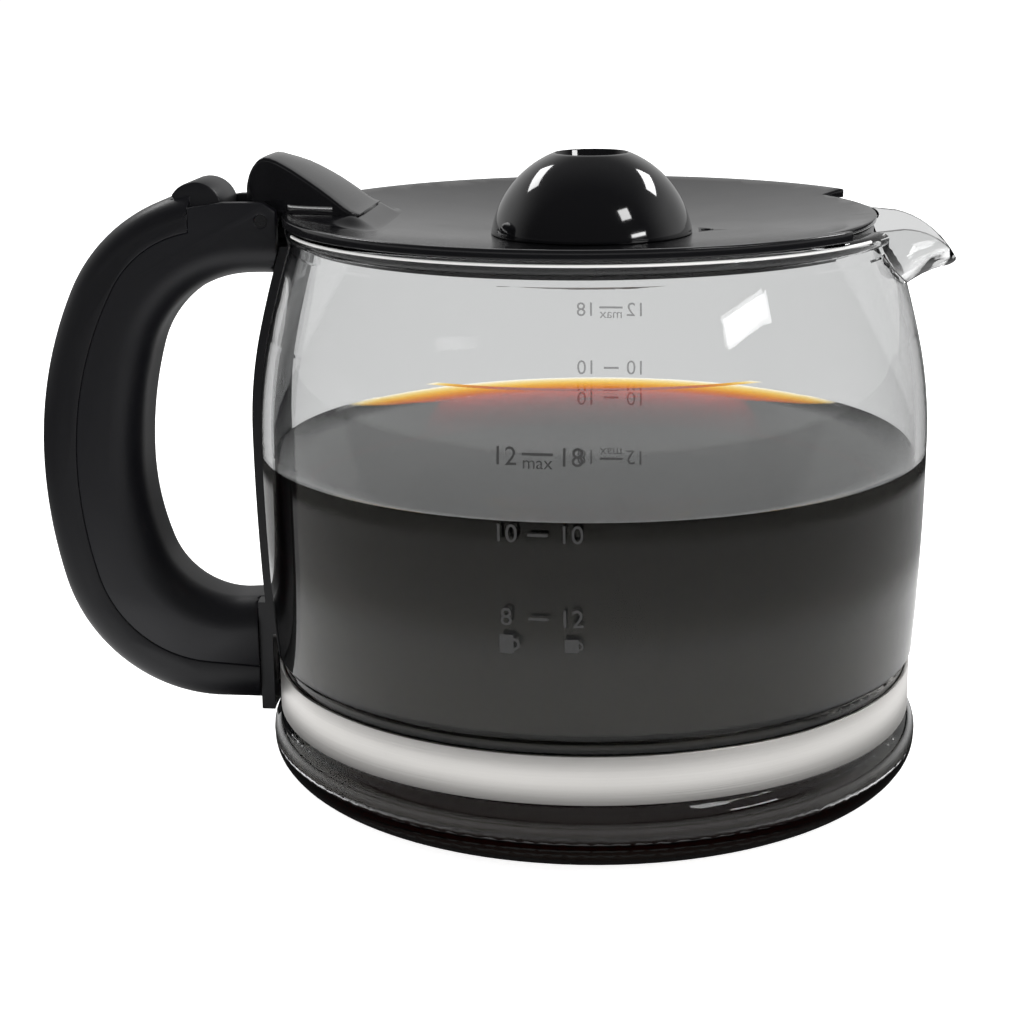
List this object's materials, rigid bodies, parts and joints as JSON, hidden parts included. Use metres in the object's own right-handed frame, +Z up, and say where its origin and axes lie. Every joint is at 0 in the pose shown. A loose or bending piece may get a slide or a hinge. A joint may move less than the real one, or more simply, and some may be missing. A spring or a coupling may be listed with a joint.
{
  "type": "drip coffee maker jug",
  "caption": "Glass coffee jug with a steel waist band, a black C-shaped grip and a hinged saucer lid with dome and thumb lever.",
  "frame": {"origin": "on the table, at the jug's axis", "axes": "+Z up along the jug's axis, +X towards the pouring lip, the grip is along -X"},
  "size_m": [0.2142, 0.155, 0.1473],
  "materials": {
    "glass": "clear blown borosilicate glass, smooth",
    "coffee": "dark brewed coffee, still and glossy",
    "band_steel": "satin stainless steel, brushed round the jug",
    "screw_steel": "bright plated steel",
    "spring_steel": "bright spring steel",
    "grip_plastic": "black satin moulded plastic",
    "pin_plastic": "black satin pin",
    "lid_plastic": "black satin-gloss moulded plastic",
    "skirt_plastic": "black moulded plastic",
    "dome_plastic": "black polished plastic",
    "lever_plastic": "black polished plastic with a satin top"
  },
  "bodies": {
    "jug": {"glass_jug": "glass", "coffee": "coffee", "waist_band": "band_steel", "band_screw": "screw_steel", "band_nut": "screw_steel", "handle_strap": "grip_plastic", "strap_screws": "screw_steel", "rim_clip": "spring_steel", "handle_cover": "grip_plastic", "handle_body": "grip_plastic", "cover_screw": "screw_steel", "hinge_pin": "pin_plastic"},
    "lid": {"lid_plate": "lid_plastic", "inner_lid": "skirt_plastic", "lid_dome": "dome_plastic", "drip_funnel": "dome_plastic", "lid_screws": "screw_steel", "lid_lever": "lever_plastic", "lever_clip": "spring_steel"}
  },
  "joints": [
    {"name": "lid_hinge", "type": "hinge", "parent": "jug", "child": "lid", "pos_m": [-0.0751, 0, 0.1325], "axis": [0, -1, 0], "range_deg": [0, 48]}
  ]
}
